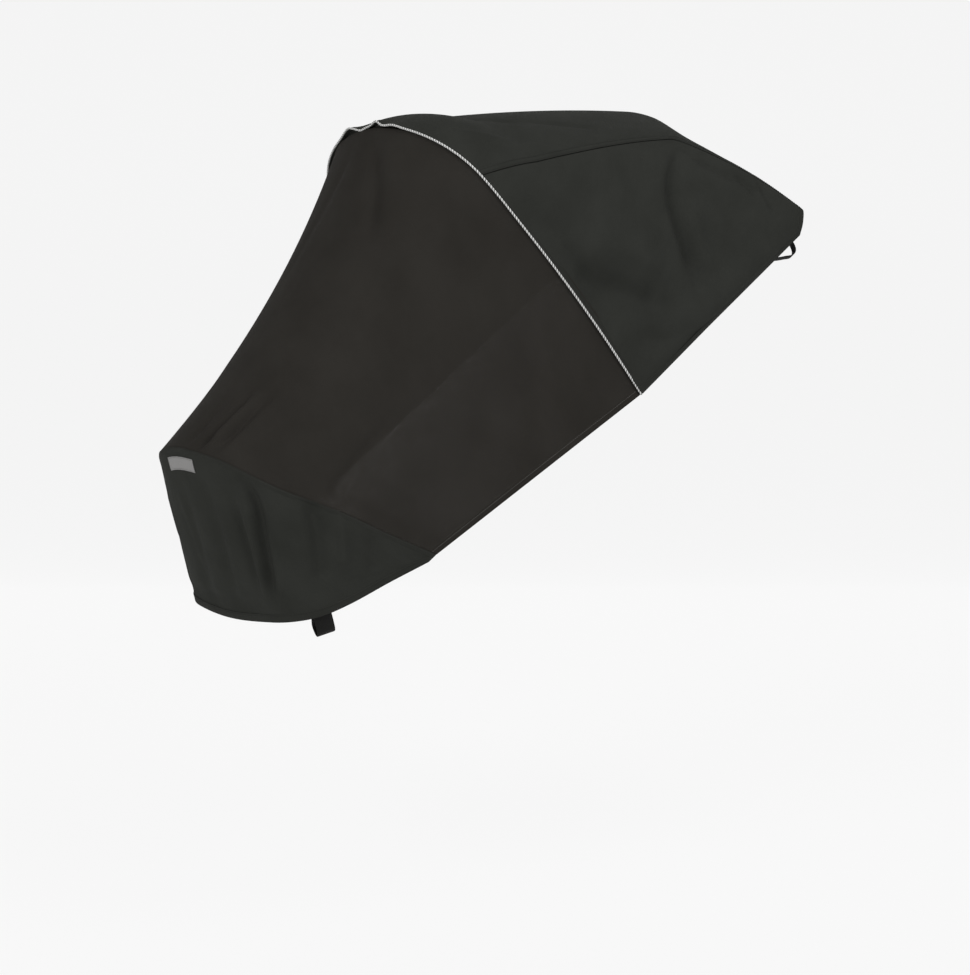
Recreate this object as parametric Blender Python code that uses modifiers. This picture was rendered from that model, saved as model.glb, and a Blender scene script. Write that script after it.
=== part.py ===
"""A fitted mosquito net for a stroller: hood, net, foot panel, piping and the loops that hold it.

The part is stored in the taut shape that it has in use. Its frame has +Z up, the foot end towards -Y and +X
towards one side. The origin is on the underside of the hood's top, where the rear bow holds it up. Sizes in the
tables and constants are in millimetres, and MM turns them to metres where a mesh is made.
"""
import math

import bmesh
import bpy
from mathutils import Vector, geometry

MM = 0.001

# Thickness of the cloths and the room left at each sewn edge
CLOTH_THICKNESS = 1.4
NET_THICKNESS = 1.2
SEAM_ROOM = 0.6
PIPING_RADIUS = 2.0
PIPING_ROOM = 0.4
TUCK_DEPTH = 12.0
TUCK_DROP = 2.0
LIP_DROP = 4.0

# Front bow: a leaning arch with its feet on the hem, each row (rise up the bow, half width there)
BOW_FOOT = Vector((0.0, -192.0, -424.0))
BOW_LEAN = math.radians(37.4)
FRONT_BOW = [
    (0.0, 250.0),
    (103.0, 242.0),
    (199.0, 228.0),
    (285.0, 209.0),
    (361.0, 186.0),
    (396.0, 163.0),
    (426.0, 125.0),
    (448.0, 74.0),
    (459.0, 0.0),
]
BOW_SEAM_ROW = 4

# Rear bow: each row (half width, back from the origin, up from the origin), hem to centre
REAR_BOW = [
    (250.0, -64.0, -330.0),
    (252.0, -90.0, -276.0),
    (243.0, -108.0, -207.0),
    (236.0, -110.0, -169.0),
    (215.0, -95.0, -117.0),
    (176.0, -61.0, -62.0),
    (127.0, -34.0, -36.0),
    (65.0, -8.0, -12.0),
    (0.0, 0.0, CLOTH_THICKNESS / 2),
]
REAR_SEAM_ROW = 5

# Back hem: the same columns, from the corner's lower end across to the centre
BACK_HEM = [
    (250.0, 117.0, -195.0),
    (249.0, 124.0, -175.0),
    (246.0, 126.0, -157.0),
    (200.0, 140.0, -152.0),
    (110.0, 155.0, -147.0),
    (0.0, 162.0, -144.0),
]
BACK_SEAM_ROW = 2

# Seam between net and foot panel, and the foot panel's lower hem: the same columns, side to centre
FOOT_SEAM = [
    (200.0, -493.0, -628.0),
    (190.0, -568.0, -595.0),
    (180.0, -620.0, -570.0),
    (153.0, -688.0, -541.0),
    (125.0, -718.0, -523.0),
    (87.0, -743.0, -504.0),
    (50.0, -756.0, -495.0),
    (0.0, -761.0, -490.0),
]
FOOT_HEM = [
    (198.0, -503.0, -637.0),
    (181.0, -551.0, -661.0),
    (163.0, -599.0, -687.0),
    (155.0, -638.0, -701.0),
    (140.0, -664.0, -707.0),
    (100.0, -678.0, -712.0),
    (0.0, -684.0, -717.0),
]

# Steps of each panel's mesh: across a hood side, across half the roof, across half the front, and lengthwise
SIDE_STEPS = 9
ROOF_STEPS = 10
FRONT_STEPS = 26
BACK_ROWS = 7
HOOD_ROWS = 13
NET_ROWS = 17
FOOT_ROWS = 9

# How far each stretch bellies out between its two ends: (at the hem, at the roof seam, at the centre)
BACK_BELLY = (0.0, 8.0, 6.0)
HOOD_BELLY = (0.0, 12.0, 9.0)
NET_BELLY = (0.0, -18.0, -25.0)
FOOT_BELLY = (0.0, 3.0, 4.0)

# The roof's rise just behind the front bow, where it rolls over the bow, and how far back that reaches
BRIM_RISE = 9.0
BRIM_SHARE = 0.25

# Folds, one row each: (place across, shift across from top to bottom, half width across, depth at the top,
# depth at the bottom). Places run from 0 at the +X hem to 1 at the -X hem, and a fold goes inwards. The folds
# run out within this share of the rows beside a sewn edge.
FOLD_RUN_OUT = 0.18
FOOT_FOLDS = [
    (0.300, 0.020, 0.018, 2.0, 5.0),
    (0.405, 0.012, 0.020, 4.0, 7.0),
    (0.545, 0.015, 0.020, 4.0, 6.0),
    (0.660, -0.015, 0.022, 2.0, 5.0),
]
NET_FOLDS = [
    (0.340, 0.020, 0.014, 0.5, 4.0),
    (0.420, 0.000, 0.016, 3.0, 0.5),
    (0.520, 0.010, 0.016, 3.0, 0.5),
    (0.600, -0.020, 0.014, 0.5, 4.0),
]

# Webbing loops under the foot hem, elastic loops at the rear corners, and the patch on the foot panel
WEBBING_WIDTH = 24.0
WEBBING_THICKNESS = 1.6
WEBBING_DROP = 30.0
WEBBING_LOOP_RADIUS = 12.0
WEBBING_SEWN = 12.0
WEBBING_PLACE = 0.47
ELASTIC_WIDTH = 8.0
ELASTIC_THICKNESS = 2.4
ELASTIC_ROUTE = [
    (44.0, -240.0),
    (70.0, -236.0),
    (96.0, -230.0),
    (107.0, -220.0),
    (108.0, -207.0),
    (98.0, -199.0),
]
PATCH_WIDTH = 72.0
PATCH_HEIGHT = 18.0
PATCH_BELOW_SEAM = 12.0
PATCH_THICKNESS = 1.0
PATCH_STEPS = 10
TOUCH_ROOM = 0.3


def bow_point(rise, half_width):
    """A point of the leaning front bow, in millimetres."""
    up_the_bow = Vector((0.0, -math.sin(BOW_LEAN), math.cos(BOW_LEAN)))
    return Vector((half_width, 0.0, 0.0)) + BOW_FOOT + up_the_bow * rise


def mirrored(point):
    return Vector((-point.x, point.y, point.z))


def smooth_run(points, last_is_centre=True, steps=8):
    """A smooth curve through the points, as a list with `steps` pieces between each two of them."""
    before = points[0] * 2 - points[1]
    after = mirrored(points[-2]) if last_is_centre else points[-1] * 2 - points[-2]
    padded = [before, *points, after]
    run = [points[0]]
    for i in range(1, len(padded) - 2):
        start, end = padded[i], padded[i + 1]
        reach = (end - start).length / 3
        leave = start + (padded[i + 1] - padded[i - 1]).normalized() * reach
        arrive = end - (padded[i + 2] - padded[i]).normalized() * reach
        run += geometry.interpolate_bezier(start, leave, arrive, end, steps + 1)[1:]
    return run


def at_distance(run, distance):
    """The point of a run that lies so far along it."""
    for a, b in zip(run, run[1:]):
        piece = (b - a).length
        if distance <= piece:
            return a.lerp(b, distance / piece)
        distance -= piece
    return run[-1].copy()


def even_points(run, count):
    """`count` + 1 points at even distances along a run."""
    total = sum((b - a).length for a, b in zip(run, run[1:]))
    return [at_distance(run, total * i / count) for i in range(count + 1)]


def across(half):
    """A half section, hem to centre, doubled to run from the +X hem to the -X hem."""
    return half + [mirrored(p) for p in reversed(half[:-1])]


def hood_section(points, seam_row, curve_steps=8):
    """A section of the hood with a point on the seam between side panel and roof."""
    run = smooth_run(points, steps=curve_steps)
    cut = seam_row * curve_steps
    side = even_points(run[: cut + 1], SIDE_STEPS)
    roof = even_points(run[cut:], ROOF_STEPS)
    return across(side + roof[1:])


def front_section(points):
    """A section of the net or the foot panel, evenly stepped."""
    return across(even_points(smooth_run(points), FRONT_STEPS))


def loft(start, end, rows):
    """Rows of points straight from one section to another, both ends included."""
    return [[a.lerp(b, r / rows) for a, b in zip(start, end)] for r in range(rows + 1)]


def outward(grid, row, column):
    """The unit normal of a grid of points that runs rear to front in rows and +X to -X in columns."""
    above, below = grid[max(row - 1, 0)], grid[min(row + 1, len(grid) - 1)]
    line = grid[row]
    along = below[column] - above[column]
    aside = line[min(column + 1, len(line) - 1)] - line[max(column - 1, 0)]
    return aside.cross(along).normalized()


def pushed(grid, depth):
    """The grid with each point moved outwards by depth(share of the rows, share of the columns)."""
    last_row, last_column = len(grid) - 1, len(grid[0]) - 1
    return [
        [p + outward(grid, r, c) * depth(r / last_row, c / last_column) for c, p in enumerate(line)]
        for r, line in enumerate(grid)
    ]


def belly(heights, seam_share):
    """A depth function that swells between the first row and the last, by heights across half the width."""
    at_hem, at_seam, at_centre = heights

    def depth(down, over):
        half = min(over, 1.0 - over) * 2
        if half < seam_share:
            height = at_hem + (at_seam - at_hem) * half / seam_share
        else:
            height = at_seam + (at_centre - at_seam) * (half - seam_share) / (1.0 - seam_share)
        return height * 4 * down * (1.0 - down)

    return depth


def folds(rows, to_last=True):
    """A depth function of soft troughs, which run out at the first row and, unless to_last, at the last."""

    def depth(down, over):
        room = down if to_last else min(down, 1.0 - down)
        strength = min(room / FOLD_RUN_OUT, 1.0)
        total = 0.0
        for place, shift, half_width, top, bottom in rows:
            offset = (over - place - shift * down) / half_width
            total -= (top + (bottom - top) * down) * math.exp(-offset * offset)
        return total * strength

    return depth


def brim(down, over):
    """The roof's roll behind the front bow, fading out towards the hood's sides."""
    from_bow = (1.0 - down) / BRIM_SHARE
    if from_bow > 1.0:
        return 0.0
    towards_centre = math.sin(math.pi * over) ** 2
    return BRIM_RISE * 4 * from_bow * (1.0 - from_bow) * towards_centre


def trimmed(grid, near=0.0, far=0.0, rear=0.0, front=0.0):
    """The grid with its edges drawn in by so many millimetres."""

    def drawn(edge, inner, distance):
        return edge + (inner - edge).normalized() * distance

    lines = [list(line) for line in grid]
    for line in lines:
        line[0] = drawn(line[0], line[1], near)
        line[-1] = drawn(line[-1], line[-2], far)
    first = [drawn(a, b, rear) for a, b in zip(lines[0], lines[1])]
    last = [drawn(a, b, front) for a, b in zip(lines[-1], lines[-2])]
    return [first, *lines[1:-1], last]


def material(name, colour, roughness, metallic=0.0):
    made = bpy.data.materials.new(name)
    made.use_nodes = True
    shader = made.node_tree.nodes["Principled BSDF"]
    shader.inputs["Base Color"].default_value = (*colour, 1.0)
    shader.inputs["Roughness"].default_value = roughness
    shader.inputs["Metallic"].default_value = metallic
    return made


def panel(name, grid, thickness, finish, collection):
    """A sewn panel: its sheet of points as an open mesh, thickened evenly to both sides."""
    sheet = bmesh.new()
    rows = [[sheet.verts.new(p * MM) for p in line] for line in grid]
    for upper, lower in zip(rows, rows[1:]):
        for c in range(len(upper) - 1):
            sheet.faces.new((upper[c], upper[c + 1], lower[c + 1], lower[c]))
    mesh = bpy.data.meshes.new(name)
    sheet.to_mesh(mesh)
    sheet.free()
    mesh.shade_smooth()
    made = bpy.data.objects.new(name, mesh)
    made.data.materials.append(finish)
    collection.objects.link(made)
    wall = made.modifiers.new("Cloth", "SOLIDIFY")
    wall.thickness = thickness * MM
    wall.offset = 0.0
    return made


def band(name, route, side, width, thickness, finish, collection):
    """A flat band that follows a route, its width laid out along the unit vector `side`."""
    half = side * (width / 2)
    grid = [[p + half, p - half] for p in route]
    return panel(name, grid, thickness, finish, collection)


def hood_grids():
    """The hood's sheet of points, cut at the roof seams into near side, roof and far side."""
    back = hood_section([Vector(row) for row in BACK_HEM], BACK_SEAM_ROW)
    rear = hood_section([Vector(row) for row in REAR_BOW], REAR_SEAM_ROW)
    front = hood_section([bow_point(*row) for row in FRONT_BOW], BOW_SEAM_ROW)
    seam_share = SIDE_STEPS / (SIDE_STEPS + ROOF_STEPS)
    behind = pushed(loft(back, rear, BACK_ROWS), belly(BACK_BELLY, seam_share))
    ahead = pushed(loft(rear, front, HOOD_ROWS), belly(HOOD_BELLY, seam_share))
    whole = behind + pushed(ahead, brim)[1:]
    first, last = SIDE_STEPS, SIDE_STEPS + 2 * ROOF_STEPS
    near = [line[: first + 1] for line in whole]
    roof = [line[first : last + 1] for line in whole]
    far = [line[last:] for line in whole]
    return near, roof, far


def net_grid():
    """The net's sheet: tucked under the hood's lip, then drawn down to the foot seam."""
    bow = front_section([bow_point(*row) for row in FRONT_BOW])
    rear = front_section([Vector(row) for row in REAR_BOW])
    seam = front_section([Vector(row) for row in FOOT_SEAM])
    lip = loft(rear, bow, HOOD_ROWS)[-2:]
    inward = [-outward(lip, 1, c) for c in range(len(bow))]
    back = [(a - b).normalized() for a, b in zip(*lip)]
    hidden = [p + b * TUCK_DEPTH + n * TUCK_DROP for p, b, n in zip(bow, back, inward)]
    shown = [p + n * LIP_DROP for p, n in zip(bow, inward)]
    sheet = pushed(loft(shown, seam, NET_ROWS), belly(NET_BELLY, 0.5))
    sheet = pushed(sheet, folds(NET_FOLDS, to_last=False))
    return [hidden, *sheet]


def foot_grid():
    """The foot panel's sheet, from its seam down to its hem."""
    seam = front_section([Vector(row) for row in FOOT_SEAM])
    hem = front_section([Vector(row) for row in FOOT_HEM])
    sheet = pushed(loft(seam, hem, FOOT_ROWS), belly(FOOT_BELLY, 0.5))
    return pushed(sheet, folds(FOOT_FOLDS))


def make_piping(finish, collection):
    """The round piping along the hood's front edge, hem to hem."""
    points = across(even_points(smooth_run([bow_point(*row) for row in FRONT_BOW]), FRONT_STEPS))
    curve = bpy.data.curves.new("piping", "CURVE")
    curve.dimensions = "3D"
    curve.bevel_depth = PIPING_RADIUS * MM
    curve.bevel_resolution = 2
    curve.use_fill_caps = True
    spline = curve.splines.new("POLY")
    spline.points.add(len(points) - 1)
    for place, point in zip(spline.points, points):
        place.co = (*(point * MM), 1.0)
    made = bpy.data.objects.new("piping", curve)
    curve.materials.append(finish)
    collection.objects.link(made)
    return made


def make_front_straps(foot, finish, collection):
    """A webbing loop on each side: sewn inside the foot hem, down round the tube and up again."""
    hem = foot[-1]
    column = round(FRONT_STEPS * WEBBING_PLACE)
    anchor = hem[column]
    along = (hem[column + 1] - hem[column - 1]).normalized()
    out = outward(foot, len(foot) - 1, column)
    up = along.cross(out).normalized()
    if up.z < 0:
        up = -up
    inside = anchor - out * (CLOTH_THICKNESS + WEBBING_THICKNESS)
    centre = inside - out * WEBBING_LOOP_RADIUS - up * (WEBBING_DROP - WEBBING_LOOP_RADIUS)
    turn = [math.pi * i / 8 for i in range(9)]
    bend = [centre + out * WEBBING_LOOP_RADIUS * math.cos(a) - up * WEBBING_LOOP_RADIUS * math.sin(a) for a in turn]
    inner_end = inside - out * (WEBBING_THICKNESS + 2 * TOUCH_ROOM) + up * WEBBING_SEWN
    route = [inside + up * WEBBING_SEWN, inside, *bend, inner_end]
    for name, flip in (("front_strap_left", False), ("front_strap_right", True)):
        line = [mirrored(p) for p in route] if flip else route
        side = mirrored(along) if flip else along
        band(name, line, side, WEBBING_WIDTH, WEBBING_THICKNESS, finish, collection)


def make_rear_loops(finish, collection):
    """A narrow elastic loop under the hem at each rear corner."""
    half_width = BACK_HEM[0][0] - CLOTH_THICKNESS / 2 - TOUCH_ROOM - ELASTIC_WIDTH / 2
    route = even_points(smooth_run([Vector((half_width, y, z)) for y, z in ELASTIC_ROUTE], False), 20)
    for name, sign in (("rear_loop_left", 1.0), ("rear_loop_right", -1.0)):
        line = [Vector((p.x * sign, p.y, p.z)) for p in route]
        band(name, line, Vector((1.0, 0.0, 0.0)), ELASTIC_WIDTH, ELASTIC_THICKNESS, finish, collection)


def foot_point(foot, x, drop, lift):
    """A point over the foot panel: `drop` below its seam at the place across with this x, `lift` off it."""
    top = foot[0]
    column = next(c for c in range(len(top) - 1) if top[c].x >= x >= top[c + 1].x)
    share = (top[column].x - x) / (top[column].x - top[column + 1].x)
    line = [row[column].lerp(row[column + 1], share) for row in foot]
    return at_distance(line, drop) + outward(foot, 1, column) * lift


def make_patch(foot, finish, collection):
    """A plain patch on the middle of the foot panel, just below its seam."""
    lift = (CLOTH_THICKNESS + PATCH_THICKNESS) / 2 + TOUCH_ROOM
    places = [PATCH_WIDTH * (0.5 - i / PATCH_STEPS) for i in range(PATCH_STEPS + 1)]
    drops = [PATCH_BELOW_SEAM + PATCH_HEIGHT * i / 2 for i in range(3)]
    grid = [[foot_point(foot, x, drop, lift) for x in places] for drop in drops]
    return panel("reflective_patch", grid, PATCH_THICKNESS, finish, collection)


def main():
    for old in list(bpy.data.objects):
        bpy.data.objects.remove(old, do_unlink=True)
    parts = bpy.data.collections.new("stroller_mosquito_net")
    bpy.context.scene.collection.children.link(parts)

    hood_cloth = material("hood_cloth", (0.028, 0.028, 0.026), 0.85)
    net_cloth = material("fine_net", (0.027, 0.025, 0.023), 0.80)
    webbing = material("black_webbing", (0.018, 0.018, 0.018), 0.75)
    reflective = material("reflective_weave", (0.45, 0.45, 0.46), 0.45)

    near, roof, far = hood_grids()
    edge = PIPING_RADIUS + PIPING_ROOM
    near = trimmed(near, far=SEAM_ROOM, front=edge)
    roof = trimmed(roof, near=SEAM_ROOM, far=SEAM_ROOM, front=edge)
    far = trimmed(far, near=SEAM_ROOM, front=edge)
    panel("hood_side_left", near, CLOTH_THICKNESS, hood_cloth, parts)
    panel("hood_roof", roof, CLOTH_THICKNESS, hood_cloth, parts)
    panel("hood_side_right", far, CLOTH_THICKNESS, hood_cloth, parts)

    panel("net", trimmed(net_grid(), front=SEAM_ROOM), NET_THICKNESS, net_cloth, parts)
    foot = foot_grid()
    panel("foot_panel", trimmed(foot, rear=SEAM_ROOM), CLOTH_THICKNESS, hood_cloth, parts)

    make_piping(reflective, parts)
    make_front_straps(foot, webbing, parts)
    make_rear_loops(webbing, parts)
    make_patch(foot, reflective, parts)


main()
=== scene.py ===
import math

import bmesh
import bpy
import numpy as np
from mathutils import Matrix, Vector, geometry


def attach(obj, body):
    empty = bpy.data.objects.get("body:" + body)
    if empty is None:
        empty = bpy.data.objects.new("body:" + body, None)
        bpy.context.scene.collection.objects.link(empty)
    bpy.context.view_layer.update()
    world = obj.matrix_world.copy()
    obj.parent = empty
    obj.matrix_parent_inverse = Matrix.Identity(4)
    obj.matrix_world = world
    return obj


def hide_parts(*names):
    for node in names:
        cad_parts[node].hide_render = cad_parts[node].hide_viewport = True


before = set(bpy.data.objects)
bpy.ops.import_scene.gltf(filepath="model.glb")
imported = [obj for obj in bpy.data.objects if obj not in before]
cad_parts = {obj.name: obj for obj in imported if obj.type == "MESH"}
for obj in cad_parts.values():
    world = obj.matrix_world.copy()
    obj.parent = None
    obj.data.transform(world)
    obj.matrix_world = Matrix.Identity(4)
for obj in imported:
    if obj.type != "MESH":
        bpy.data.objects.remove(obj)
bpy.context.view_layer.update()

MM = 0.001

# Sizes

CLOTH_THICKNESS = 0.5
NET_THICKNESS = 0.4
PIPING_RADIUS = 1.45
PIPING_SIDES = 12
TUCK_DEPTH = 12.0
TUCK_DROP = 2.0
LIP_DROP = 3.2
FAR_LIP_DROP = 7.0
FAR_LIP_PLACE = -122.0
FAR_LIP_LENGTH = 22.0

BOW_FOOT = Vector((0.0, -192.0, -424.0))
BOW_LEAN = math.radians(37.4)
# Front bow, hem to centre: (rise up the bow, half width there)
FRONT_BOW = [
    (0.0, 250.0), (103.0, 242.0), (199.0, 228.0), (285.0, 209.0), (361.0, 186.0), (396.0, 163.0),
    (426.0, 125.0), (448.0, 74.0), (459.0, 0.0),
]
BOW_SEAM_ROW = 4
BOW_FOOT_BACK = 5.0
BOW_FOOT_FADE = 300.0
# The piping's small rises and dips near the crown: (x, rise, half width)
CROWN_WOBBLE = [(-52.0, 8.0, 20.0), (-12.0, -3.0, 12.0), (24.0, 6.5, 9.0), (60.0, 2.5, 16.0)]
CROWN_WOBBLE_REACH = 16.0
CROWN_LOW = -130.0
CROWN_FADE = 40.0
# Rear bow, hem to centre: (half width, y, z)
REAR_BOW = [
    (250.0, -64.0, -330.0), (252.0, -90.0, -276.0), (243.0, -108.0, -207.0), (236.0, -110.0, -169.0),
    (215.0, -95.0, -117.0), (176.0, -61.0, -62.0), (127.0, -34.0, -36.0), (65.0, -8.0, -12.0),
    (0.0, 0.0, 0.7),
]
REAR_SEAM_ROW = 5
# Back hem, corner to centre: (half width, y, z)
BACK_HEM = [
    (250.0, 117.0, -195.0), (249.0, 124.0, -175.0), (246.0, 126.0, -157.0), (200.0, 140.0, -152.0),
    (110.0, 155.0, -147.0), (0.0, 162.0, -144.0),
]
BACK_SEAM_ROW = 2
# Seam between net and foot panel, and the foot panel's hem, side to centre: (half width, y, z)
FOOT_SEAM = [
    (200.0, -493.0, -628.0), (190.0, -568.0, -595.0), (180.0, -620.0, -570.0), (153.0, -688.0, -541.0),
    (125.0, -718.0, -523.0), (87.0, -743.0, -504.0), (50.0, -756.0, -495.0), (0.0, -761.0, -490.0),
]
FOOT_HEM = [
    (198.0, -503.0, -637.0), (181.0, -551.0, -661.0), (163.0, -599.0, -687.0), (155.0, -638.0, -701.0),
    (140.0, -664.0, -707.0), (100.0, -678.0, -712.0), (0.0, -684.0, -717.0),
]

# How far each stretch bellies out between its two ends: (at the hem, at the roof seam, at the centre)
BACK_BELLY = (0.0, 8.0, 6.0)
HOOD_BELLY = (0.0, 12.0, 9.0)
NET_BELLY = (0.0, -18.0, -25.0)
FOOT_BELLY = (0.0, 3.0, 4.0)
BRIM_RISE = 9.0
BRIM_SHARE = 0.25

# Steps of the fine meshes: across a hood side, half the roof and half the front, and lengthwise
CURVE_STEPS = 24
SIDE_LENGTH = 250.0
ROOF_HALF_LENGTH = 200.0
SIDE_STEPS = 62
ROOF_STEPS = 54
CLOSE_STEPS = (0.5, 1.0, 1.6, 2.4, 3.6, 5.2)
FRONT_STEPS = 150
BACK_ROWS = 34
HOOD_ROWS = 84
NET_ROWS = 120
FOOT_ROWS = 44
REAR_ROUNDING = 5
REAR_ROUNDING_ROWS = 8

# Soft creases of the hood: (half width across it, depth inwards, its points as (x, y, z)). A negative depth
# is a ridge. First come the near, left side and its half of the roof, then the far side and its half, and
# then the back.
HOOD_CREASES = [
    (16.0, 8.0, [(212, -345, -174), (226, -311, -219), (238, -270, -278), (245, -236, -330)]),
    (20.0, 13.0, [(236, -290, -248), (241, -250, -275), (247, -200, -290), (250, -150, -302)]),
    (16.0, -5.0, [(236, -250, -225), (244, -200, -232), (250, -140, -250)]),
    (18.0, -3.0, [(250, -205, -325), (250, -165, -315)]),
    (14.0, 4.0, [(250, -173, -355), (252, -128, -345), (252, -81, -321)]),
    (8.5, 10.0, [(193, -63, -80), (213, -98, -112), (230, -116, -152), (240, -115, -187),
                 (247, -104, -225), (252, -88, -273)]),
    (14.0, -8.0, [(234, -84, -140), (248, -84, -200), (252, -62, -262)]),
    (4.0, 2.5, [(191, -62, -78), (200, -39, -86)]),
    (8.0, 6.5, [(203, -51, -90), (217, -21, -104), (228, 13, -120)]),
    (7.0, 6.0, [(221, 14, -108), (241, 40, -143)]),
    (7.0, 6.0, [(232, 52, -124), (248, 68, -164)]),
    (10.0, 3.0, [(158, -326, -78), (179, -261, -83)]),
    (9.0, -2.5, [(137, -410, -76), (171, -344, -92)]),
    (8.0, 2.5, [(111, -286, -48), (149, -191, -54)]),
    (9.0, 2.0, [(60, -380, -52), (120, -290, -52)]),
    (14.0, 3.0, [(-226, -311, -219), (-238, -260, -278), (-247, -200, -300)]),
    (20.0, 5.0, [(-250, -170, -330), (-252, -90, -300)]),
    (8.0, 4.0, [(-213, -98, -112), (-236, -116, -169), (-247, -104, -225)]),
    (8.0, 2.5, [(-217, -21, -104), (-240, 40, -143)]),
    (9.0, 2.5, [(-150, -350, -82), (-176, -270, -84)]),
    (9.0, 2.0, [(-40, -330, -40), (-110, -240, -40)]),
    (8.0, 2.0, [(-70, 60, -60), (-50, 120, -110)]),
    (8.0, 2.0, [(90, 50, -60), (75, 130, -125)]),
    (8.0, 2.0, [(160, 60, -92), (170, 110, -128)]),
]

# Folds of the foot panel and of the net, in the same way
FOOT_CREASES = [
    (16.0, 4.0, [(-12, -742, -545), (-22, -720, -610), (-38, -690, -690)]),
    (8.0, -2.0, [(-33, -739, -553), (-26, -729, -587), (-30, -705, -655)]),
    (12.0, 5.0, [(48, -746, -540), (44, -725, -600), (34, -695, -680)]),
    (8.0, 10.0, [(108, -727, -528), (117, -721, -540), (122, -712, -565), (120, -703, -603),
                 (117, -693, -642), (113, -684, -680)]),
    (8.0, 6.0, [(90, -727, -556), (94, -712, -610), (92, -694, -672)]),
    (7.0, -6.0, [(104, -722, -556), (106, -705, -612), (103, -690, -668)]),
    (9.0, -4.0, [(138, -698, -560), (138, -686, -610), (132, -672, -670)]),
    (11.0, 9.0, [(164, -664, -552), (168, -652, -590), (162, -641, -665)]),
    (7.0, -5.0, [(181, -624, -578), (172, -614, -640)]),
    (9.0, 4.0, [(190, -585, -600), (181, -575, -650)]),
    (16.0, 2.5, [(-120, -712, -540), (-116, -700, -610), (-112, -686, -680)]),
    (14.0, -1.5, [(-98, -728, -550), (-96, -705, -620)]),
    (9.0, 8.0, [(-166, -662, -556), (-165, -645, -600), (-160, -640, -662)]),
    (10.0, 4.5, [(-140, -662, -688), (-100, -686, -692), (-40, -692, -695), (40, -692, -696),
                 (90, -684, -694)]),
]
NET_CREASES = [
    (12.0, 6.0, [(36, -480, -90), (66, -500, -140), (95, -525, -214)]),
    (11.0, 5.0, [(-20, -490, -95), (-34, -545, -190), (-40, -590, -260)]),
    (6.0, 9.0, [(44, -752, -488), (52, -726, -460), (62, -690, -424)]),
    (6.0, -5.0, [(58, -742, -486), (62, -712, -452), (76, -676, -410)]),
    (6.0, 8.0, [(72, -738, -488), (80, -705, -452), (96, -662, -404)]),
    (6.0, 4.0, [(20, -752, -480), (24, -726, -448), (28, -690, -405)]),
    (9.0, 4.0, [(-90, -735, -500), (-75, -700, -450), (-66, -650, -400)]),
    (10.0, 3.5, [(170, -640, -555), (172, -590, -500), (178, -540, -450)]),
    (10.0, 3.5, [(-170, -640, -555), (-172, -590, -500), (-178, -540, -450)]),
]

# Roof seams: how far the cloth is drawn in along them, and over what distance
SEAM_SINK = 1.8
SEAM_SINK_REACH = 1.3
# Folded hems: width. Hood hem: slope at which it turns under, how far up the turn ends and fades, and where
# along the hood it is (y, half length)
HEM_WIDTH = 11.0
HEM_TURN_SLOPE = 0.7
HEM_TURN_CREST = 19.0
HEM_TURN_FADE = 30.0
HEM_TURN_MIDDLE = -45.0
HEM_TURN_LENGTH = 130.0

WEBBING_WIDTH = 24.0
WEBBING_THICKNESS = 1.4
WEBBING_DROP = 30.0
WEBBING_LOOP_RADIUS = 12.0
WEBBING_SEWN = 12.0
WEBBING_PLACE = 0.47
ELASTIC_WIDTH = 8.0
ELASTIC_THICKNESS = 1.6
# Rear loop, front to back: (y, z)
ELASTIC_ROUTE = [
    (60.0, -231.0), (76.0, -230.5), (92.0, -228.0), (105.0, -225.5), (110.5, -219.0), (107.0, -209.5),
    (97.0, -201.0),
]
# How far the loops lean: the slope of their width, up to across
ELASTIC_LEAN = 0.7
PATCH_WIDTH = 72.0
PATCH_HEIGHT = 18.0
PATCH_BELOW_SEAM = 12.0

# Materials


def srgb(code):
    """A colour as a designer writes it, "#rrggbb", for a shader socket."""
    parts = [int(code[i : i + 2], 16) / 255 for i in (1, 3, 5)]
    return (*[p / 12.92 if p <= 0.04045 else ((p + 0.055) / 1.055) ** 2.4 for p in parts], 1.0)


def add(material, kind, links=None, **values):
    """Adds a node. Values are its properties or, under the names of its sockets, their fixed values."""
    node = material.node_tree.nodes.new(kind)
    for key, value in values.items():
        name = key.replace("_", " ")
        if name in node.inputs:
            node.inputs[name].default_value = value
        else:
            setattr(node, key, value)
    for name, source in (links or {}).items():
        material.node_tree.links.new(source, node.inputs[name])
    return node


def cloth_material(name, colour, roughness, sheen):
    made = bpy.data.materials.new(name)
    made.use_nodes = True
    shader = made.node_tree.nodes["Principled BSDF"]
    shader.inputs["Base Color"].default_value = srgb(colour)
    shader.inputs["Roughness"].default_value = roughness
    shader.inputs["Specular IOR Level"].default_value = 0.05
    shader.inputs["Sheen Weight"].default_value = sheen
    shader.inputs["Sheen Roughness"].default_value = 0.45
    return made, shader


def join(material, source, target):
    material.node_tree.links.new(source, target)


def waves(material, coordinate, axis, pitch):
    """Ridges `pitch` millimetres apart along the cloth's own u or v, which are in millimetres."""
    wave = add(material, "ShaderNodeTexWave", {"Vector": coordinate}, bands_direction=axis)
    wave.inputs["Scale"].default_value = math.tau / (20.0 * pitch)
    return wave.outputs["Fac"]


def math_node(material, operation, first, second):
    node = add(material, "ShaderNodeMath", operation=operation)
    for socket, value in zip(node.inputs, (first, second)):
        if isinstance(value, (int, float)):
            socket.default_value = value
        else:
            join(material, value, socket)
    return node.outputs["Value"]


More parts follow.
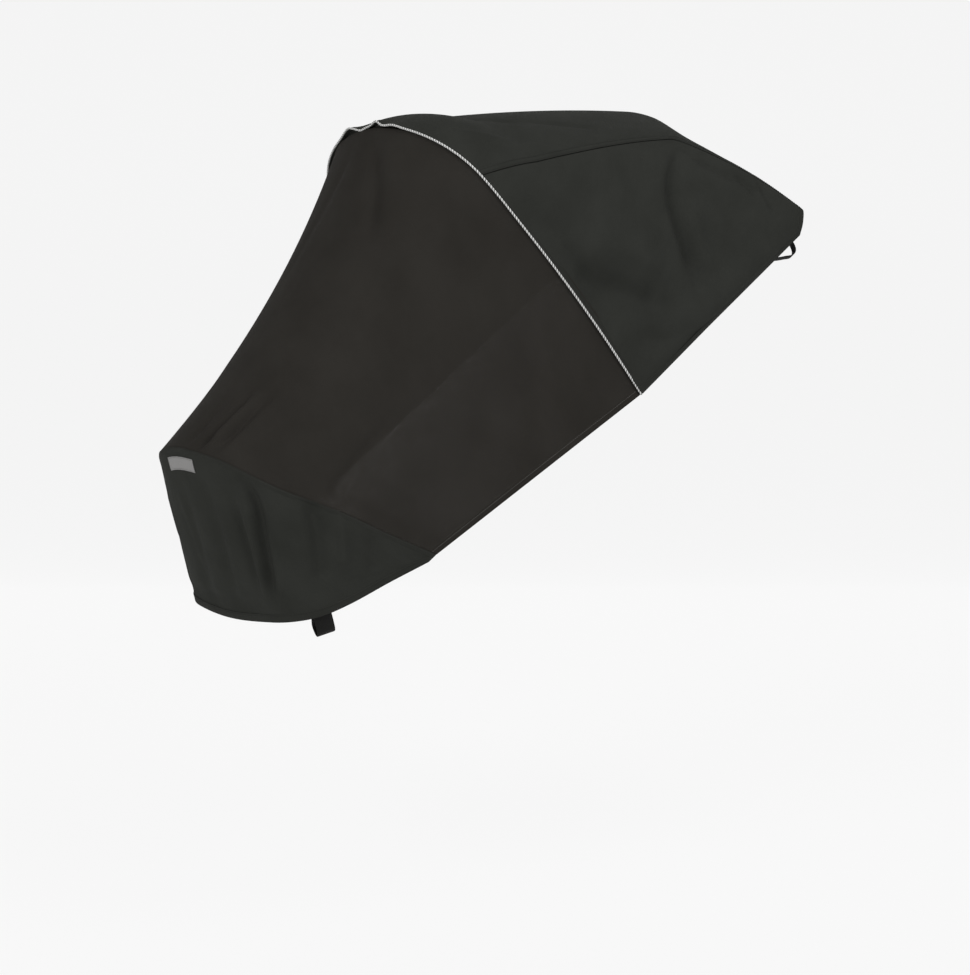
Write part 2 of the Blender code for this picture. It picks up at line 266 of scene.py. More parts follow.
def mottled(material, shader, light, dark, place, size):
    """Slow changes of tone over the cloth, `size` millimetres wide."""
    noise = add(material, "ShaderNodeTexNoise", {"Vector": place}, Scale=1.0 / size, Detail=3.0)
    ramp = add(material, "ShaderNodeValToRGB", {"Fac": noise.outputs["Fac"]})
    ramp.color_ramp.elements[0].position, ramp.color_ramp.elements[0].color = 0.35, srgb(dark)
    ramp.color_ramp.elements[1].position, ramp.color_ramp.elements[1].color = 0.65, srgb(light)
    join(material, ramp.outputs["Color"], shader.inputs["Base Color"])


def bumped(material, shader, height, distance, strength=1.0):
    """Relief of `distance` millimetres from a height between 0 and 1."""
    bump = add(material, "ShaderNodeBump", {"Height": height}, Distance=distance * MM, Strength=strength)
    join(material, bump.outputs["Normal"], shader.inputs["Normal"])


def make_hood_cloth():
    """Plain-woven polyester, matt, dyed near black. The weave is drawn at 0.9 mm, coarser than real."""
    made, shader = cloth_material("hood_cloth", "#2f302d", 0.92, 0.0)
    place = add(made, "ShaderNodeUVMap", uv_map="cloth_mm").outputs["UV"]
    mottled(made, shader, "#30312e", "#2c2d2a", place, 70.0)
    weave = math_node(made, "MULTIPLY", waves(made, place, "X", 0.9), waves(made, place, "Y", 0.9))
    slub = add(made, "ShaderNodeTexNoise", {"Vector": place}, Scale=0.12, Detail=4.0).outputs["Fac"]
    total = math_node(made, "ADD", math_node(made, "MULTIPLY", weave, 0.12), slub)
    bumped(made, shader, total, 0.9, 0.8)
    return made


def make_net_cloth():
    """Fine knitted polyester net, near black: small round holes about 1.1 mm apart, slightly uneven."""
    made, shader = cloth_material("fine_net", "#2d2b28", 0.85, 0.0)
    place = add(made, "ShaderNodeUVMap", uv_map="cloth_mm").outputs["UV"]
    mottled(made, shader, "#2e2c29", "#2a2825", place, 90.0)
    holes = add(made, "ShaderNodeTexVoronoi", {"Vector": place}, Scale=1.0 / 1.1, Randomness=0.25)
    edge = add(made, "ShaderNodeMapRange", {"Value": holes.outputs["Distance"]})
    edge.inputs["From Min"].default_value = 0.10
    edge.inputs["From Max"].default_value = 0.17
    join(made, edge.outputs["Result"], shader.inputs["Alpha"])
    bumped(made, shader, holes.outputs["Distance"], 0.2, 0.6)
    return made


def make_webbing():
    """Black woven polypropylene webbing: 1.6 mm ribs across its length."""
    made, shader = cloth_material("black_webbing", "#1f1f1e", 0.7, 0.05)
    place = add(made, "ShaderNodeUVMap", uv_map="cloth_mm").outputs["UV"]
    ribs = math_node(made, "MULTIPLY", waves(made, place, "X", 1.6), waves(made, place, "Y", 0.8))
    bumped(made, shader, ribs, 0.35)
    return made


def make_piping_weave():
    """Pale grey reflective yarn wound round the piping cord in 2.2 mm turns, with darker yarn between."""
    made, shader = cloth_material("piping_weave", "#c9c9c8", 0.45, 0.0)
    place = add(made, "ShaderNodeUVMap", uv_map="cloth_mm").outputs["UV"]
    turns = waves(made, place, "DIAGONAL", 2.2)
    ramp = add(made, "ShaderNodeValToRGB", {"Fac": turns})
    ramp.color_ramp.elements[0].position, ramp.color_ramp.elements[0].color = 0.15, srgb("#6e6e6d")
    ramp.color_ramp.elements[1].position, ramp.color_ramp.elements[1].color = 0.6, srgb("#dededc")
    join(made, ramp.outputs["Color"], shader.inputs["Base Color"])
    bumped(made, shader, turns, 0.3)
    return made


def make_patch_weave():
    """Plain reflective tape: pale grey glass-bead face on a fine weave."""
    made, shader = cloth_material("patch_weave", "#8a8988", 0.5, 0.0)
    place = add(made, "ShaderNodeUVMap", uv_map="cloth_mm").outputs["UV"]
    weave = math_node(made, "MULTIPLY", waves(made, place, "X", 0.8), waves(made, place, "Y", 0.8))
    bumped(made, shader, weave, 0.12)
    return made


def make_thread(name, colour):
    """Twisted polyester sewing thread, 0.4 mm thick."""
    return cloth_material(name, colour, 0.6, 0.0)[0]


# Sheets of points


def bow_point(rise, half_width):
    up_the_bow = Vector((0.0, -math.sin(BOW_LEAN), math.cos(BOW_LEAN)))
    back = BOW_FOOT_BACK * max(0.0, 1.0 - rise / BOW_FOOT_FADE)
    return Vector((half_width, back, 0.0)) + BOW_FOOT + up_the_bow * rise


def wobble(points):
    """How far the hood's front edge rises above an even curve at these points."""
    rise = np.zeros(points.shape[:-1])
    for x, high, half_width in CROWN_WOBBLE:
        rise += high * np.exp(-(((points[..., 0] - x) / half_width) ** 2))
    return rise * np.clip((points[..., 2] - CROWN_LOW) / CROWN_FADE, 0.0, 1.0)


def smooth_run(points, last_is_centre=True, steps=CURVE_STEPS):
    """A smooth curve through the points, as an array with `steps` pieces between each two of them."""
    points = [Vector(p) for p in points]
    before = points[0] * 2 - points[1]
    after = points[-1] * 2 - points[-2]
    if last_is_centre:
        after = Vector((-points[-2].x, points[-2].y, points[-2].z))
    padded = [before, *points, after]
    run = [points[0]]
    for i in range(1, len(padded) - 2):
        start, end = padded[i], padded[i + 1]
        reach = (end - start).length / 3
        leave = start + (padded[i + 1] - padded[i - 1]).normalized() * reach
        arrive = end - (padded[i + 2] - padded[i]).normalized() * reach
        run += geometry.interpolate_bezier(start, leave, arrive, end, steps + 1)[1:]
    return np.array([p[:] for p in run])


def lengths(run):
    """Distance along a run at each of its points."""
    return np.concatenate([[0.0], np.cumsum(np.linalg.norm(np.diff(run, axis=0), axis=1))])


def read_off(run, distances):
    """The run's points at these distances along it."""
    along = lengths(run)
    return np.stack([np.interp(distances, along, run[:, k]) for k in range(3)], axis=-1)


def even_points(run, count):
    return read_off(run, np.linspace(0.0, lengths(run)[-1], count + 1))


def at_shares(run, places):
    return read_off(run, np.asarray(places) * lengths(run)[-1])


def stations(steps, length, fine_start=False, fine_end=False):
    """Shares from 0 to 1 in even steps, with closer ones beside an end where the cloth is sewn."""
    close = np.array(CLOSE_STEPS) / length
    places = np.linspace(0.0, 1.0, steps + 1)
    kept = (places > close[-1] * fine_start) & (places < 1 - close[-1] * fine_end)
    places = places[(places < 1e-9) | (places > 1 - 1e-9) | kept]
    if fine_start:
        places = np.concatenate([places, close])
    if fine_end:
        places = np.concatenate([places, 1.0 - close])
    return np.unique(places)


def across(half):
    """A half section, hem to centre, doubled to run from the +X hem to the -X hem."""
    return np.concatenate([half, half[-2::-1] * (-1.0, 1.0, 1.0)])


def hood_section(points, seam_row):
    run = smooth_run(points)
    cut = seam_row * CURVE_STEPS
    side = at_shares(run[: cut + 1], SIDE_STATIONS)
    roof = at_shares(run[cut:], ROOF_STATIONS)
    return across(np.concatenate([side, roof[1:]]))


def front_section(points):
    return across(even_points(smooth_run(points), FRONT_STEPS))


def loft(start, end, rows):
    share = np.linspace(0.0, 1.0, rows + 1)[:, None, None]
    return start * (1.0 - share) + end * share


def unit(vectors):
    return vectors / np.maximum(np.linalg.norm(vectors, axis=-1, keepdims=True), 1e-9)


def outward(grid):
    """Unit normals of a sheet whose rows run rear to front and whose columns run +X to -X."""
    return unit(np.cross(np.gradient(grid, axis=1), np.gradient(grid, axis=0)))


def shares(grid, over=None):
    """(share of the rows, share of the columns) at each point."""
    rows, columns = grid.shape[:2]
    over = np.linspace(0, 1, columns) if over is None else over
    return np.meshgrid(np.linspace(0, 1, rows), over, indexing="ij")


def swollen(grid, heights, seam_share, over=None):
    """The sheet pushed out between its first row and its last one."""
    down, over = shares(grid, over)
    half = 1.0 - np.abs(2.0 * over - 1.0)
    height = np.interp(half, [0.0, seam_share, 1.0], heights)
    return grid + outward(grid) * (height * 4.0 * down * (1.0 - down))[..., None]


def rolled_brim(grid, over):
    """The roof's roll over the front bow, fading out towards the hood's sides."""
    down, over = shares(grid, over)
    from_bow = np.clip((1.0 - down) / BRIM_SHARE, 0.0, 1.0)
    rise = BRIM_RISE * 4.0 * from_bow * (1.0 - from_bow) * np.sin(np.pi * over) ** 2
    return grid + outward(grid) * rise[..., None]


def eased(grid, rounds, first=0, last=None):
    """Rows first to last drawn towards their neighbours, so that a bend over a bow turns round."""
    grid = grid.copy()
    last = len(grid) - 1 if last is None else last
    for _ in range(rounds):
        inner = grid[first + 1 : last]
        grid[first + 1 : last] = inner * 0.5 + (grid[first : last - 1] + grid[first + 2 : last + 1]) * 0.25
    return grid


def nearest_on_route(points, route):
    """Distance from each point to a route, and the share of the route's length there."""
    best = np.full(points.shape[:-1], 1e9)
    share = np.zeros(points.shape[:-1])
    along = lengths(route)
    for i, (a, b) in enumerate(zip(route, route[1:])):
        t = np.clip(((points - a) @ (b - a)) / ((b - a) @ (b - a)), 0.0, 1.0)
        distance = np.linalg.norm(points - (a + t[..., None] * (b - a)), axis=-1)
        closer = distance < best
        best = np.where(closer, distance, best)
        share = np.where(closer, (along[i] + t * (along[i + 1] - along[i])) / along[-1], share)
    return best, share


def creased(grid, rows, keep_edges=8.0):
    """The sheet with soft troughs along routes, which run out at their ends and at the sheet's sewn edges."""
    depth = np.zeros(grid.shape[:2])
    for half_width, deep, route in rows:
        route = np.array(route, float)
        if len(route) > 2:
            route = smooth_run([Vector(p) for p in route], False, 8)
        distance, share = nearest_on_route(grid, route)
        ends = np.clip(np.minimum(share, 1.0 - share) * 5.0, 0.0, 1.0)
        depth += deep * np.exp(-((distance / half_width) ** 2)) * (0.35 + 0.65 * ends * ends * (3 - 2 * ends))
    edge = edge_distance(grid)
    depth *= np.clip(edge / keep_edges, 0.0, 1.0)
    return grid - outward(grid) * depth[..., None]


def edge_distance(grid):
    """Distance of each point to the nearest edge of its sheet, measured over the cloth."""
    u, v = cloth_measure(grid)
    return np.minimum.reduce([u - u[:, :1], u[:, -1:] - u, v - v[:1], v[-1:] - v])


def cloth_measure(grid):
    """Each point's place on the flat cloth: across from the middle column, and down from the first row."""
    steps = np.linalg.norm(np.diff(grid, axis=1), axis=2)
    u = np.concatenate([np.zeros((len(grid), 1)), np.cumsum(steps, axis=1)], axis=1)
    u = u - u[:, [u.shape[1] // 2]]
    steps = np.linalg.norm(np.diff(grid, axis=0), axis=2)
    v = np.concatenate([np.zeros((1, grid.shape[1])), np.cumsum(steps, axis=0)], axis=0)
    return u, v


# Meshes


def sheet_mesh(name, grid, finish, thickness=0.0):
    """A grid primitive shaped in edit mode to the sheet's points, then given its cloth's thickness."""
    rows, columns = grid.shape[:2]
    bpy.ops.mesh.primitive_grid_add(x_subdivisions=columns - 1, y_subdivisions=rows - 1, size=1.0)
    made = bpy.context.object
    made.name = made.data.name = name
    mesh = made.data
    mesh.vertices.foreach_set("co", (grid * MM).astype(np.float32).ravel())
    u, v = cloth_measure(grid)
    flat = np.stack([u, v], axis=-1).reshape(-1, 2)
    corner = np.zeros(len(mesh.loops), np.int32)
    mesh.loops.foreach_get("vertex_index", corner)
    layer = mesh.uv_layers[0] if mesh.uv_layers else mesh.uv_layers.new()
    layer.name = "cloth_mm"
    layer.data.foreach_set("uv", flat[corner].astype(np.float32).ravel())
    mesh.materials.append(finish)
    mesh.shade_smooth()
    mesh.update()
    if thickness:
        wall = made.modifiers.new("Cloth", "SOLIDIFY")
        wall.thickness = thickness * MM
        wall.offset = 0.0
        bpy.ops.object.modifier_apply(modifier=wall.name)
    return made


def swept(name, route, inward, normal, profile, finish):
    """A closed outline of (inward, normal) points swept along a route, with its ends closed."""
    count = len(profile)
    profile = np.array(profile, float)
    sideways = inward[:, None, :] * profile[None, :, :1]
    lifted = normal[:, None, :] * profile[None, :, 1:]
    verts = ((route[:, None, :] + sideways + lifted) * MM).reshape(-1, 3)
    n = len(route)
    faces = []
    for i in range(n - 1):
        for k in range(count):
            a, b = i * count + k, i * count + (k + 1) % count
            faces.append((a, b, b + count, a + count))
    faces.append(tuple(range(count - 1, -1, -1)))
    faces.append(tuple((n - 1) * count + k for k in range(count)))
    mesh = bpy.data.meshes.new(name)
    mesh.from_pydata([tuple(v) for v in verts], [], faces)
    layer = mesh.uv_layers.new(name="cloth_mm")
    along = lengths(route)
    around = lengths(np.concatenate([profile, profile[:1]]))
    uv = np.zeros((len(mesh.loops), 2))
    k = 0
    for i in range(n - 1):
        for j in range(count):
            low, high = around[j], around[j + 1]
            uv[k : k + 4] = [(along[i], low), (along[i], high), (along[i + 1], high), (along[i + 1], low)]
            k += 4
    layer.data.foreach_set("uv", uv.astype(np.float32).ravel())
    mesh.materials.append(finish)
    mesh.shade_smooth()
    made = bpy.data.objects.new(name, mesh)
    bpy.context.scene.collection.objects.link(made)
    faces_outward(made)
    return made


def faces_outward(made):
    """Turns a closed mesh's faces outwards."""
    work = bmesh.new()
    work.from_mesh(made.data)
    bmesh.ops.recalc_face_normals(work, faces=work.faces)
    work.to_mesh(made.data)
    work.free()


def stitch_row(name, route, normal, finish, length=2.6, pitch=3.4, radius=0.22):
    """Small spindles of thread laid end to end along a route, each sunk a little at its ends."""
    along = lengths(route)
    starts = np.arange(pitch, along[-1] - pitch, pitch)
    rings = [(0.0, 0.12, -0.18), (0.25, 1.0, 0.10), (0.75, 1.0, 0.10), (1.0, 0.12, -0.18)]
    sides = 5
    verts, faces = [], []
    for start in starts:
        a, b = read_off(route, [start, start + length])
        up = unit(np.stack([np.interp(start, along, normal[:, k]) for k in range(3)]))
        side = unit(np.cross(b - a, up))
        base = len(verts)
        for share, wide, lift in rings:
            centre = a + (b - a) * share + up * lift
            for s in range(sides):
                turn = math.tau * s / sides
                verts.append((centre + (side * math.cos(turn) + up * math.sin(turn)) * radius * wide) * MM)
        for r in range(len(rings) - 1):
            for s in range(sides):
                p, q = base + r * sides + s, base + r * sides + (s + 1) % sides
                faces.append((p, q, q + sides, p + sides))
        faces.append(tuple(base + s for s in reversed(range(sides))))
        faces.append(tuple(base + (len(rings) - 1) * sides + s for s in range(sides)))
    mesh = bpy.data.meshes.new(name)
    mesh.from_pydata([tuple(v) for v in verts], [], faces)
    mesh.materials.append(finish)
    mesh.shade_smooth()
    made = bpy.data.objects.new(name, mesh)
    bpy.context.scene.collection.objects.link(made)
    faces_outward(made)
    return made


def hem_profile(width, thick):
    """A cloth edge folded twice: flat on both faces, round where it turns."""
    t = thick
    upper = [(width, t * 0.45), (width - 0.8, t * 0.95), (width * 0.5, t * 0.9), (0.9, t), (0.0, t * 0.75)]
    lower = [(x, -z) for x, z in reversed(upper)]
    return [lower[-1], *upper, (-0.4, 0.0), *lower[:-1]]


def edge_frames(grid, edge):
    """Route, inward direction and normal along one edge of a sheet: "near", "far", "rear" or "front"."""
    normals = outward(grid)
    if edge == "near":
        route, inner, normal = grid[:, 0], grid[:, 1], normals[:, 0]
    elif edge == "far":
        route, inner, normal = grid[:, -1], grid[:, -2], normals[:, -1]
    elif edge == "rear":
        route, inner, normal = grid[0], grid[1], normals[0]
    else:
        route, inner, normal = grid[-1], grid[-2], normals[-1]
    return route, unit(inner - route), normal


def hemmed(name, grid, edge, cloth, thread, width=HEM_WIDTH, thick=0.75):
    """A folded hem along an edge, with one row of stitches near its inner fold."""
    route, inward, normal = edge_frames(grid, edge)
    hem = swept(name, route, inward, normal, hem_profile(width, thick), cloth)
    line = route + inward * (width - 2.2) + normal * thick
    stitches = stitch_row(name + "_stitches", line, normal, thread)
    return [hem, stitches]


# Build

hood_cloth = make_hood_cloth()
net_cloth = make_net_cloth()
webbing = make_webbing()
piping_weave = make_piping_weave()
patch_weave = make_patch_weave()
dark_thread = make_thread("dark_thread", "#252524")
# Grey thread: round the patch this is the thread's own colour. On the net hems its paleness is partly a
# painted highlight, standing in for the light caught along each hem's fold.
grey_thread_and_painted_highlight = make_thread("grey_thread_and_painted_highlight", "#6b6a68")
mid_thread = make_thread("mid_thread", "#3a3937")


SIDE_STATIONS = stations(SIDE_STEPS, SIDE_LENGTH, True, True)
ROOF_STATIONS = stations(ROOF_STEPS, ROOF_HALF_LENGTH, True)
# Share of half a section that lies below the roof seam
SEAM_SHARE = 9 / 19


def turned_hem(grid):
    """The hood's lower hems turned under: the hem stays in place and the cloth above it stands out."""
    u, _ = cloth_measure(grid)
    middle = np.exp(-(((grid[..., 1] - HEM_TURN_MIDDLE) / HEM_TURN_LENGTH) ** 4))
    height = np.zeros(u.shape)
    for from_hem in (u - u[:, :1], u[:, -1:] - u):
        up = np.minimum(from_hem, HEM_TURN_CREST)
        rise = up - np.maximum(up - HEM_WIDTH, 0.0) ** 2 / (2.0 * (HEM_TURN_CREST - HEM_WIDTH))
        fade = np.exp(-((np.maximum(from_hem - HEM_TURN_CREST, 0.0) / HEM_TURN_FADE) ** 2))
        height += HEM_TURN_SLOPE * rise * fade
    return grid + outward(grid) * (height * middle)[..., None]


def hood_sheets():
    """The hood's sheet of points, cut at the roof seams into near side, roof and far side."""
    back = hood_section(BACK_HEM, BACK_SEAM_ROW)
    rear = hood_section(REAR_BOW, REAR_SEAM_ROW)
    front = hood_section([bow_point(*row) for row in FRONT_BOW], BOW_SEAM_ROW)
    roof_shares = SEAM_SHARE + ROOF_STATIONS[1:] * (1.0 - SEAM_SHARE)
    half = np.concatenate([SIDE_STATIONS * SEAM_SHARE, roof_shares]) / 2
    over = np.concatenate([half, 1.0 - half[-2::-1]])
    behind = swollen(loft(back, rear, BACK_ROWS), BACK_BELLY, SEAM_SHARE, over)
    ahead = rolled_brim(swollen(loft(rear, front, HOOD_ROWS), HOOD_BELLY, SEAM_SHARE, over), over)
    whole = eased(np.concatenate([behind, ahead[1:]]), REAR_ROUNDING, BACK_ROWS - REAR_ROUNDING_ROWS,
                  BACK_ROWS + REAR_ROUNDING_ROWS)
    whole = creased(whole, HOOD_CREASES)
    _, v = cloth_measure(whole)
    near_bow = np.exp(-(((v[-1:] - v) / CROWN_WOBBLE_REACH) ** 2))
    whole[..., 2] += wobble(whole) * near_bow
    whole = turned_hem(whole)
    first = len(SIDE_STATIONS) - 1
    last = whole.shape[1] - 1 - first
    level = whole
    u, _ = cloth_measure(whole)
    valley = np.zeros(u.shape)
    for column in (first, last):
        valley += SEAM_SINK * np.exp(-(((u - u[:, [column]]) / SEAM_SINK_REACH) ** 2))
    whole = whole - outward(whole) * valley[..., None]
    return whole[:, : first + 1], whole[:, first : last + 1], whole[:, last:], level[:, first : last + 1]


def net_sheet():
    """The net: tucked under the hood's lip, then drawn down to the foot seam."""
    bow = front_section([bow_point(*row) for row in FRONT_BOW])
    rear = front_section(REAR_BOW)
    seam = front_section(FOOT_SEAM)
    lip = loft(rear, bow, HOOD_ROWS)[-3:]
    inward = -outward(lip)[1]
    back = unit(lip[0] - lip[2])
    hidden = bow + back * TUCK_DEPTH + inward * TUCK_DROP
    gap = LIP_DROP + FAR_LIP_DROP * np.exp(-(((bow[:, 0] - FAR_LIP_PLACE) / FAR_LIP_LENGTH) ** 2))
    shown = bow + inward * gap[:, None]
    sheet = swollen(loft(shown, seam, NET_ROWS), NET_BELLY, 0.5)
    sheet = creased(sheet, NET_CREASES)
    return np.concatenate([loft(hidden, sheet[0], 4)[:-1], sheet])


def foot_sheet():
    """The foot panel, from its seam down to its hem."""
    sheet = swollen(loft(front_section(FOOT_SEAM), front_section(FOOT_HEM), FOOT_ROWS), FOOT_BELLY, 0.5)
    return creased(sheet, FOOT_CREASES, 4.0)


near, roof, far, level_roof = hood_sheets()
net = net_sheet()
foot = foot_sheet()

pieces = {}
pieces["hood_side_left"] = [sheet_mesh("hood_side_left_cloth", near, hood_cloth, CLOTH_THICKNESS)]
pieces["hood_roof"] = [sheet_mesh("hood_roof_cloth", roof, hood_cloth, CLOTH_THICKNESS)]
pieces["hood_side_right"] = [sheet_mesh("hood_side_right_cloth", far, hood_cloth, CLOTH_THICKNESS)]
pieces["net"] = [sheet_mesh("net_cloth", net, net_cloth, NET_THICKNESS)]
pieces["foot_panel"] = [sheet_mesh("foot_panel_cloth", foot, hood_cloth, CLOTH_THICKNESS)]

pieces["hood_side_left"] += hemmed("hood_hem_left", near, "near", hood_cloth, dark_thread)
pieces["hood_side_right"] += hemmed("hood_hem_right", far, "far", hood_cloth, dark_thread)
back_line = np.concatenate([near[:2, :-1], roof[:2], far[:2, 1:]], axis=1)
pieces["hood_roof"] += hemmed("hood_hem_back", back_line, "rear", hood_cloth, dark_thread)
# The net hems' grey stitches draw a pale line along each hem. It is partly thread colour and partly a painted
# highlight of the hem's fold.
pieces["net"] += hemmed("net_hem_left", net[4:], "near", net_cloth, grey_thread_and_painted_highlight, 10.0, 0.6)
pieces["net"] += hemmed("net_hem_right", net[4:], "far", net_cloth, grey_thread_and_painted_highlight, 10.0, 0.6)
pieces["foot_panel"] += hemmed("foot_hem", foot, "front", hood_cloth, dark_thread)


def roof_seam(name, sheet, edge):
    """The lapped seam of roof and side: the roof's folded edge over the side, with two rows of stitches."""
    route, inward, normal = edge_frames(sheet, edge)
    flat = [(0.1, -0.9), (0.1, 0.1), (0.6, 0.5), (4.0, 0.6), (8.4, 0.5), (9.2, 0.2), (9.2, -0.3)]
    lap = swept(name, route, inward, normal, flat, hood_cloth)
    rows = []
    for i, from_edge in enumerate((2.0, 7.6)):
        line = route + inward * from_edge + normal * 0.65
        rows.append(stitch_row(f"{name}_stitches_{i}", line, normal, dark_thread))
    return [lap, *rows]


pieces["hood_roof"] += roof_seam("roof_seam_left", level_roof, "near")
pieces["hood_roof"] += roof_seam("roof_seam_right", level_roof, "far")

# Foot seam: the foot panel's folded edge laid over the net, one row of grey stitches
route, inward, normal = edge_frames(foot, "rear")
flat = [(-0.4, -0.4), (-0.4, 0.0), (0.2, 0.25), (3.0, 0.4), (6.2, 0.4), (6.8, 0.1), (6.8, -0.4)]
pieces["foot_panel"] += [
    swept("foot_seam", route, inward, normal, flat, hood_cloth),
    stitch_row("foot_seam_stitches", route + inward * 1.8 + normal * 0.45, normal, mid_thread),
]

# Piping: the cord and the tape that holds it, along the whole front edge
bow_run = front_section([bow_point(*row) for row in FRONT_BOW])
rear_run = front_section(REAR_BOW)
bow_lip = loft(rear_run, bow_run, HOOD_ROWS)[-3:]
bow_out = outward(bow_lip)[1]
bow_back = unit(bow_lip[0] - bow_lip[2])
bow_run[:, 2] += wobble(bow_run)
turns = [math.tau * i / PIPING_SIDES for i in range(PIPING_SIDES)]
circle = [(PIPING_RADIUS * math.cos(a), PIPING_RADIUS * math.sin(a)) for a in turns]
pieces["piping"] = [swept("piping_cord", bow_run, bow_back, bow_out, circle, piping_weave)]
tape = [(0.0, -1.2), (0.0, -0.2), (9.0, -0.4), (9.0, -1.2)]
pieces["piping"] += [swept("piping_tape", bow_run, bow_back, bow_out, tape, hood_cloth)]
piping_line = bow_run + bow_back * 5.0 + bow_out * 1.2
pieces["hood_roof"] += [stitch_row("piping_stitches", piping_line, bow_out, dark_thread)]


def band(name, route, side, normal, width, thickness, finish):
    """A flat woven band with rounded edges."""
    w, t = width / 2, thickness / 2
    upper = [(-w, t * 0.4), (-w + 0.6, t), (0.0, t), (w - 0.6, t), (w, t * 0.4)]
    outline = upper + [(x, -z) for x, z in reversed(upper)]
    return swept(name, route, np.broadcast_to(side, route.shape), normal, outline, finish)


def front_strap(name, flip):
    """A webbing loop sewn inside the foot hem, down round the frame tube and up again."""
    column = round(FRONT_STEPS * WEBBING_PLACE)
    normals = outward(foot)
    anchor, out = foot[-1, column], normals[-1, column]
    along = unit(foot[-1, column + 3] - foot[-1, column - 3])
    up = unit(np.cross(along, out))
    if up[2] < 0:
        up = -up
    inside = anchor - out * 3.0
    centre = inside - out * WEBBING_LOOP_RADIUS - up * (WEBBING_DROP - WEBBING_LOOP_RADIUS)
    bend = [centre + out * WEBBING_LOOP_RADIUS * math.cos(a) - up * WEBBING_LOOP_RADIUS * math.sin(a)
            for a in np.linspace(0.0, math.pi, 13)]
    rough = [inside + up * WEBBING_SEWN, inside, *bend, inside - out * 2.2 + up * WEBBING_SEWN]
    route = even_points(np.array(rough), 60)
    route = eased(route[:, None, :], 3)[:, 0]
    tangent = unit(np.gradient(route, axis=0))
    face = unit(np.cross(tangent, along))
    if flip:
        route, along, face = (a * (-1.0, 1.0, 1.0) for a in (route, along, face))
    return band(name, route, along, face, WEBBING_WIDTH, WEBBING_THICKNESS, webbing)


def rear_loop(name, sign):
    """A narrow elastic loop under the hem at a rear corner."""
    half_width = BACK_HEM[0][0] - 5.0
    points = [(half_width, y, z) for y, z in ELASTIC_ROUTE]
    route = even_points(smooth_run(points, False), 40) * (sign, 1.0, 1.0)
    tangent = unit(np.gradient(route, axis=0))
    lean = unit(np.array((sign, 0.0, ELASTIC_LEAN)))
    side = unit(lean - tangent * (tangent @ lean)[:, None])
    face = unit(np.cross(tangent, side))
    return band(name, route, side, face, ELASTIC_WIDTH, ELASTIC_THICKNESS, webbing)


pieces["front_strap_left"] = [front_strap("front_strap_left_band", False)]
pieces["front_strap_right"] = [front_strap("front_strap_right_band", True)]
pieces["rear_loop_left"] = [rear_loop("rear_loop_left_band", 1.0)]
pieces["rear_loop_right"] = [rear_loop("rear_loop_right_band", -1.0)]


def foot_points(places, drops, lift):
    """Points over the foot panel at these x and these distances below its seam, lifted off it."""
    normals = outward(foot)
    grid = np.zeros((len(drops), len(places), 3))
    for j, x in enumerate(places):
        column = int(np.abs(foot[0, :, 0] - x).argmin())
        line = foot[:, column] + normals[:, column] * lift
        grid[:, j] = read_off(line, drops)
    return grid


def patch_points(inset, lift):
    """Points of the patch, drawn in from its edges by `inset` and lifted off the panel by `lift`."""
    half = PATCH_WIDTH / 2 - inset
    drops = np.linspace(PATCH_BELOW_SEAM + inset, PATCH_BELOW_SEAM + PATCH_HEIGHT - inset, 10)
    return foot_points(np.linspace(half, -half, 37), drops, lift)


pieces["reflective_patch"] = [sheet_mesh("reflective_patch_tape", patch_points(0.0, 0.7), patch_weave, 0.5)]
inner = patch_points(1.6, 1.0)
round_it = np.concatenate([inner[0], inner[1:, -1], inner[-1, -2::-1], inner[-2::-1, 0]])
round_out = np.broadcast_to(outward(inner)[5, 18], round_it.shape)
patch_stitches = stitch_row("reflective_patch_stitches", round_it, round_out, grey_thread_and_painted_highlight, 2.0, 2.7, 0.2)
pieces["reflective_patch"] += [patch_stitches]

# Pieces hung on the root body, and the CAD parts they stand for hidden

for node, made in pieces.items():
    for piece in made:
        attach(piece, "root")
    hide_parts(node)

# Set, lights and camera

# Height of the floor
GROUND = -1106.6
# Turn of the sweep about Z, in degrees
SWEEP_TURN = 53.65
# Sweep, in metres: where its floor starts and its corner begins, the corner's radius and half the width
SWEEP_START = -6.0
SWEEP_CORNER = 3.0
SWEEP_RADIUS = 1.5
SWEEP_HALF_WIDTH = 9.0
# Soft boxes, in metres and watts: (name, place, what it points at, size, power)
SOFT_BOXES = [
    ("top_box", (1.2, 0.2, 2.2), (0, -0.3, -0.3), 1.2, 18.0),
    ("front_box", (0.8, -3.0, 1.2), (0, -0.4, -0.5), 1.2, 42.0),
    ("side_box", (2.8, 0.2, 1.4), (0, -0.2, -0.4), 1.2, 36.0),
]
# Camera, fitted to the photograph, in metres, degrees and millimetres of lens
CAMERA_PLACE = (2.0409, -1.7701, -0.3905)
CAMERA_DOWN = 3.8563
CAMERA_TURN = 53.6458
CAMERA_LENS = 64.44


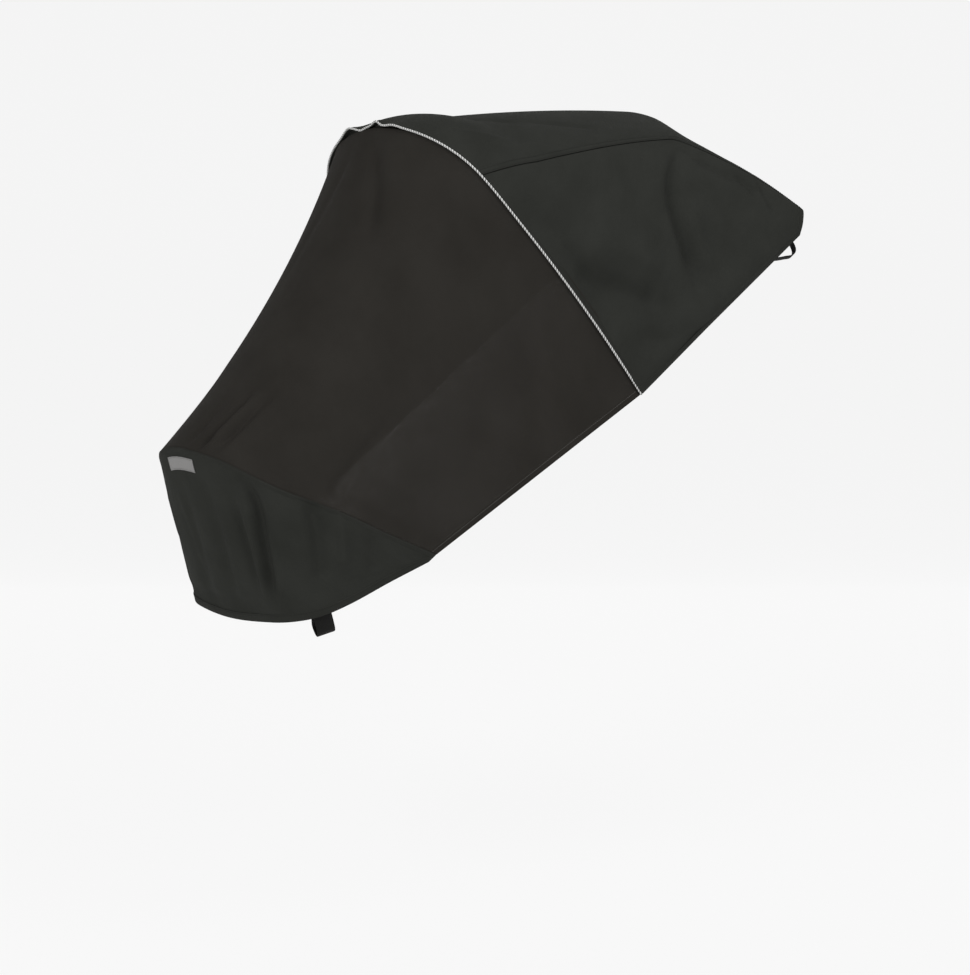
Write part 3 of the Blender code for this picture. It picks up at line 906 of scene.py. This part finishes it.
def backdrop():
    """An opal acrylic sweep, floor, curved corner and wall, lit from behind so that it looks evenly white."""
    bpy.ops.mesh.primitive_grid_add(x_subdivisions=2, y_subdivisions=40, size=1.0)
    made = bpy.context.object
    made.name = "backdrop"
    turn = math.radians(SWEEP_TURN)
    along, side = Vector((-math.sin(turn), math.cos(turn), 0)), Vector((math.cos(turn), math.sin(turn), 0))
    run = [(SWEEP_START + (SWEEP_CORNER - SWEEP_START) * i / 19, 0.0) for i in range(20)]
    for a in np.linspace(0.08, math.pi / 2, 16):
        run.append((SWEEP_CORNER + SWEEP_RADIUS * math.sin(a), SWEEP_RADIUS - SWEEP_RADIUS * math.cos(a)))
    run += [(SWEEP_CORNER + SWEEP_RADIUS, z) for z in (2.0, 3.0, 4.0, 5.0, 6.5)]
    for i, v in enumerate(made.data.vertices):
        row, column = divmod(i, 3)
        reach, height = run[row]
        v.co = along * reach + side * (column - 1) * SWEEP_HALF_WIDTH + Vector((0, 0, GROUND * MM + height))
    made.data.shade_smooth()
    opal = bpy.data.materials.new("opal_acrylic")
    opal.use_nodes = True
    shader = opal.node_tree.nodes["Principled BSDF"]
    shader.inputs["Base Color"].default_value = srgb("#3c3c3c")
    shader.inputs["Emission Color"].default_value = srgb("#ffffff")
    shader.inputs["Emission Strength"].default_value = 0.87
    shader.inputs["Roughness"].default_value = 0.9
    made.data.materials.append(opal)
    return made


def soft_light(name, place, aim, size, power):
    """A square soft box that points at `aim`."""
    light = bpy.data.lights.new(name, "AREA")
    light.shape, light.size, light.energy = "SQUARE", size, power
    made = bpy.data.objects.new(name, light)
    made.location = place
    made.rotation_euler = (Vector(aim) - Vector(place)).to_track_quat("-Z", "Y").to_euler()
    bpy.context.scene.collection.objects.link(made)
    return made


backdrop()
for box in SOFT_BOXES:
    soft_light(*box)

world = bpy.data.worlds.new("studio")
world.use_nodes = True
world.node_tree.nodes["Background"].inputs["Color"].default_value = srgb("#ffffff")
world.node_tree.nodes["Background"].inputs["Strength"].default_value = 0.2
bpy.context.scene.world = world

camera = bpy.data.objects.new("camera", bpy.data.cameras.new("camera"))
camera.location = CAMERA_PLACE
camera.rotation_euler = (math.radians(90 - CAMERA_DOWN), 0.0, math.radians(CAMERA_TURN))
camera.data.lens = CAMERA_LENS
camera.data.sensor_width = 36.0
camera.data.clip_end = 50.0
bpy.context.scene.collection.objects.link(camera)
bpy.context.scene.camera = camera
bpy.context.scene.view_settings.view_transform = "Standard"
